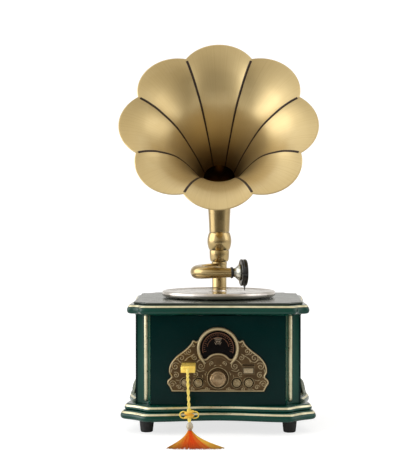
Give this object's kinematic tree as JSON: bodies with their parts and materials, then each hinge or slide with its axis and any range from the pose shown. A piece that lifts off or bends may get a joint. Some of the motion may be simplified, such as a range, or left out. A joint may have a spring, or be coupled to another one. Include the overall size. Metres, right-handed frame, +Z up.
{
  "type": "horn loudspeaker",
  "caption": "Table-top loudspeaker styled as an old gramophone: petalled brass horn on a swivelling column, tonearm over a turning platter, lacquered cabinet with a front control plate.",
  "frame": {"origin": "on the floor, under the middle of the cabinet; the tassel and its stick are left out of the box", "axes": "+Z up, -Y towards the front with the controls, +X to the right seen from the front"},
  "size_m": [0.2354, 0.3234, 0.4551],
  "materials": {
    "rubber_feet": "matt moulded rubber",
    "green_lacquer": "high-gloss dark green lacquer with gold lines",
    "top_gloss": "high-gloss dark lacquer",
    "black_plastic": "fine matt",
    "aged_bronze": "antique bronze plating, worn bright on the edges",
    "dial_print": "glossy black with amber scale",
    "pewter": "polished grey-silver plating",
    "steel": "plain steel",
    "gold_metal": "bright gold plating",
    "yellow_cord": "twisted silky cord",
    "orange_fringe": "silky threads",
    "polished_brass": "polished aged brass",
    "horn_brass": "satin pale brass",
    "soundbox_black": "gloss black enamel",
    "board_green": "printed circuit board"
  },
  "bodies": {
    "cabinet": {"foot_front_left": "rubber_feet", "foot_front_right": "rubber_feet", "foot_rear_left": "rubber_feet", "foot_rear_right": "rubber_feet", "plinth_lower": "green_lacquer", "plinth_upper": "green_lacquer", "front_board": "green_lacquer", "left_board": "green_lacquer", "right_board": "green_lacquer", "rear_board": "green_lacquer", "rear_cover": "black_plastic", "dc_inlet": "black_plastic", "corner_post_front_left": "green_lacquer", "corner_post_front_right": "green_lacquer", "corner_post_rear_left": "green_lacquer", "corner_post_rear_right": "green_lacquer", "cornice": "green_lacquer", "top_board": "top_gloss", "control_plate": "aged_bronze", "dial_bezel": "aged_bronze", "dial_face": "dial_print", "usb_socket": "steel", "ornament_left": "pewter", "ornament_right": "pewter", "platter_bearing": "steel", "column_stem": "polished_brass", "column_neck": "polished_brass", "circuit_board": "board_green", "battery": "black_plastic", "speaker_driver": "black_plastic"},
    "horn": {"coupling_ring": "polished_brass", "elbow": "polished_brass", "horn_collar": "polished_brass", "horn_petal_1": "horn_brass", "horn_petal_2": "horn_brass", "horn_petal_3": "horn_brass", "horn_petal_4": "horn_brass", "horn_petal_5": "horn_brass", "horn_petal_6": "horn_brass", "horn_petal_7": "horn_brass", "horn_petal_8": "horn_brass"},
    "platter": {"platter": "pewter"},
    "tonearm": {"tonearm_hub": "polished_brass", "tonearm_tube": "polished_brass", "tonearm_end_ring": "black_plastic"},
    "soundbox": {"soundbox_cone": "pewter", "soundbox_case": "soundbox_black", "soundbox_disc": "pewter", "needle": "steel"},
    "knob": {"knob": "aged_bronze"},
    "slot_key": {"slot_key": "pewter"},
    "usb_stick": {"usb_stick": "gold_metal", "tassel_cord": "yellow_cord", "tassel_knot": "yellow_cord", "tassel_cap": "pewter", "tassel_fringe": "orange_fringe"},
    "button_mode": {"button_mode": "aged_bronze"},
    "button_previous": {"button_previous": "aged_bronze"},
    "button_next": {"button_next": "aged_bronze"},
    "button_play": {"button_play": "aged_bronze"}
  },
  "joints": [
    {"name": "horn_swivel", "type": "hinge", "parent": "cabinet", "child": "horn", "pos_m": [0, 0.084, 0.2145], "axis": [0, 0, 1], "range_deg": [-45, 45]},
    {"name": "platter_spin", "type": "hinge", "parent": "cabinet", "child": "platter", "pos_m": [0, 0, 0.1549], "axis": [0, 0, 1], "continuous": true},
    {"name": "tonearm_swing", "type": "hinge", "parent": "cabinet", "child": "tonearm", "pos_m": [0, 0.084, 0.1801], "axis": [0, 0, 1], "range_deg": [-12, 28]},
    {"name": "soundbox_turn", "type": "hinge", "parent": "tonearm", "child": "soundbox", "pos_m": [0.02936, -0.01829, 0.1801], "axis": [-0.9848, -0.1736, 0], "range_deg": [0, 80]},
    {"name": "knob_turn", "type": "hinge", "parent": "cabinet", "child": "knob", "pos_m": [0, -0.1, 0.0636], "axis": [0, -1, 0], "continuous": true},
    {"name": "button_mode_press", "type": "slide", "parent": "cabinet", "child": "button_mode", "axis": [0, 1, 0], "range_m": [0, 0.0012], "stiffness_N_per_m": 500, "springref_m": -0.0006},
    {"name": "button_previous_press", "type": "slide", "parent": "cabinet", "child": "button_previous", "axis": [0, 1, 0], "range_m": [0, 0.0012], "stiffness_N_per_m": 500, "springref_m": -0.0006},
    {"name": "button_next_press", "type": "slide", "parent": "cabinet", "child": "button_next", "axis": [0, 1, 0], "range_m": [0, 0.0012], "stiffness_N_per_m": 500, "springref_m": -0.0006},
    {"name": "button_play_press", "type": "slide", "parent": "cabinet", "child": "button_play", "axis": [0, 1, 0], "range_m": [0, 0.0012], "stiffness_N_per_m": 500, "springref_m": -0.0006},
    {"name": "slot_key_press", "type": "slide", "parent": "cabinet", "child": "slot_key", "axis": [0, 1, 0], "range_m": [0, 0.001], "stiffness_N_per_m": 500, "springref_m": -0.0006},
    {"name": "usb_stick_pull", "type": "slide", "parent": "cabinet", "child": "usb_stick", "axis": [0, -1, 0], "range_m": [0, 0.014]}
  ]
}
